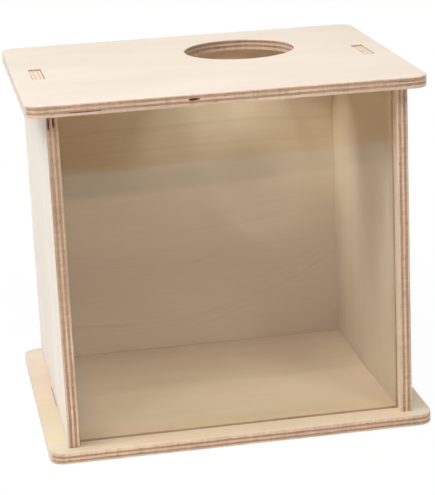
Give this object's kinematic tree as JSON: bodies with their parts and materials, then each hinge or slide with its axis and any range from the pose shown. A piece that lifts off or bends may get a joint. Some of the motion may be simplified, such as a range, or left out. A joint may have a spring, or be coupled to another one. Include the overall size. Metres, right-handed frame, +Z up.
{
  "type": "hamster sand bath box",
  "caption": "Free-standing plywood sand bath box for a small pet: tenoned side panels between a rounded base and top, a clear front pane and a round entrance hole in the top.",
  "frame": {"origin": "centre of the base's underside, on the surface that the box stands on", "axes": "+Z up, the clear pane faces -Y, +X to the right as seen from the front"},
  "size_m": [0.202, 0.166, 0.186],
  "materials": {
    "plate_plywood": "sanded, unfinished",
    "side_plywood": "sanded, unfinished",
    "back_plywood": "sanded, unfinished",
    "clear_pane": "clear, polished"
  },
  "bodies": {
    "root": {"base_panel": "plate_plywood", "top_panel": "plate_plywood", "left_side_panel": "side_plywood", "right_side_panel": "side_plywood", "back_panel": "back_plywood", "front_pane": "clear_pane"}
  },
  "joints": []
}
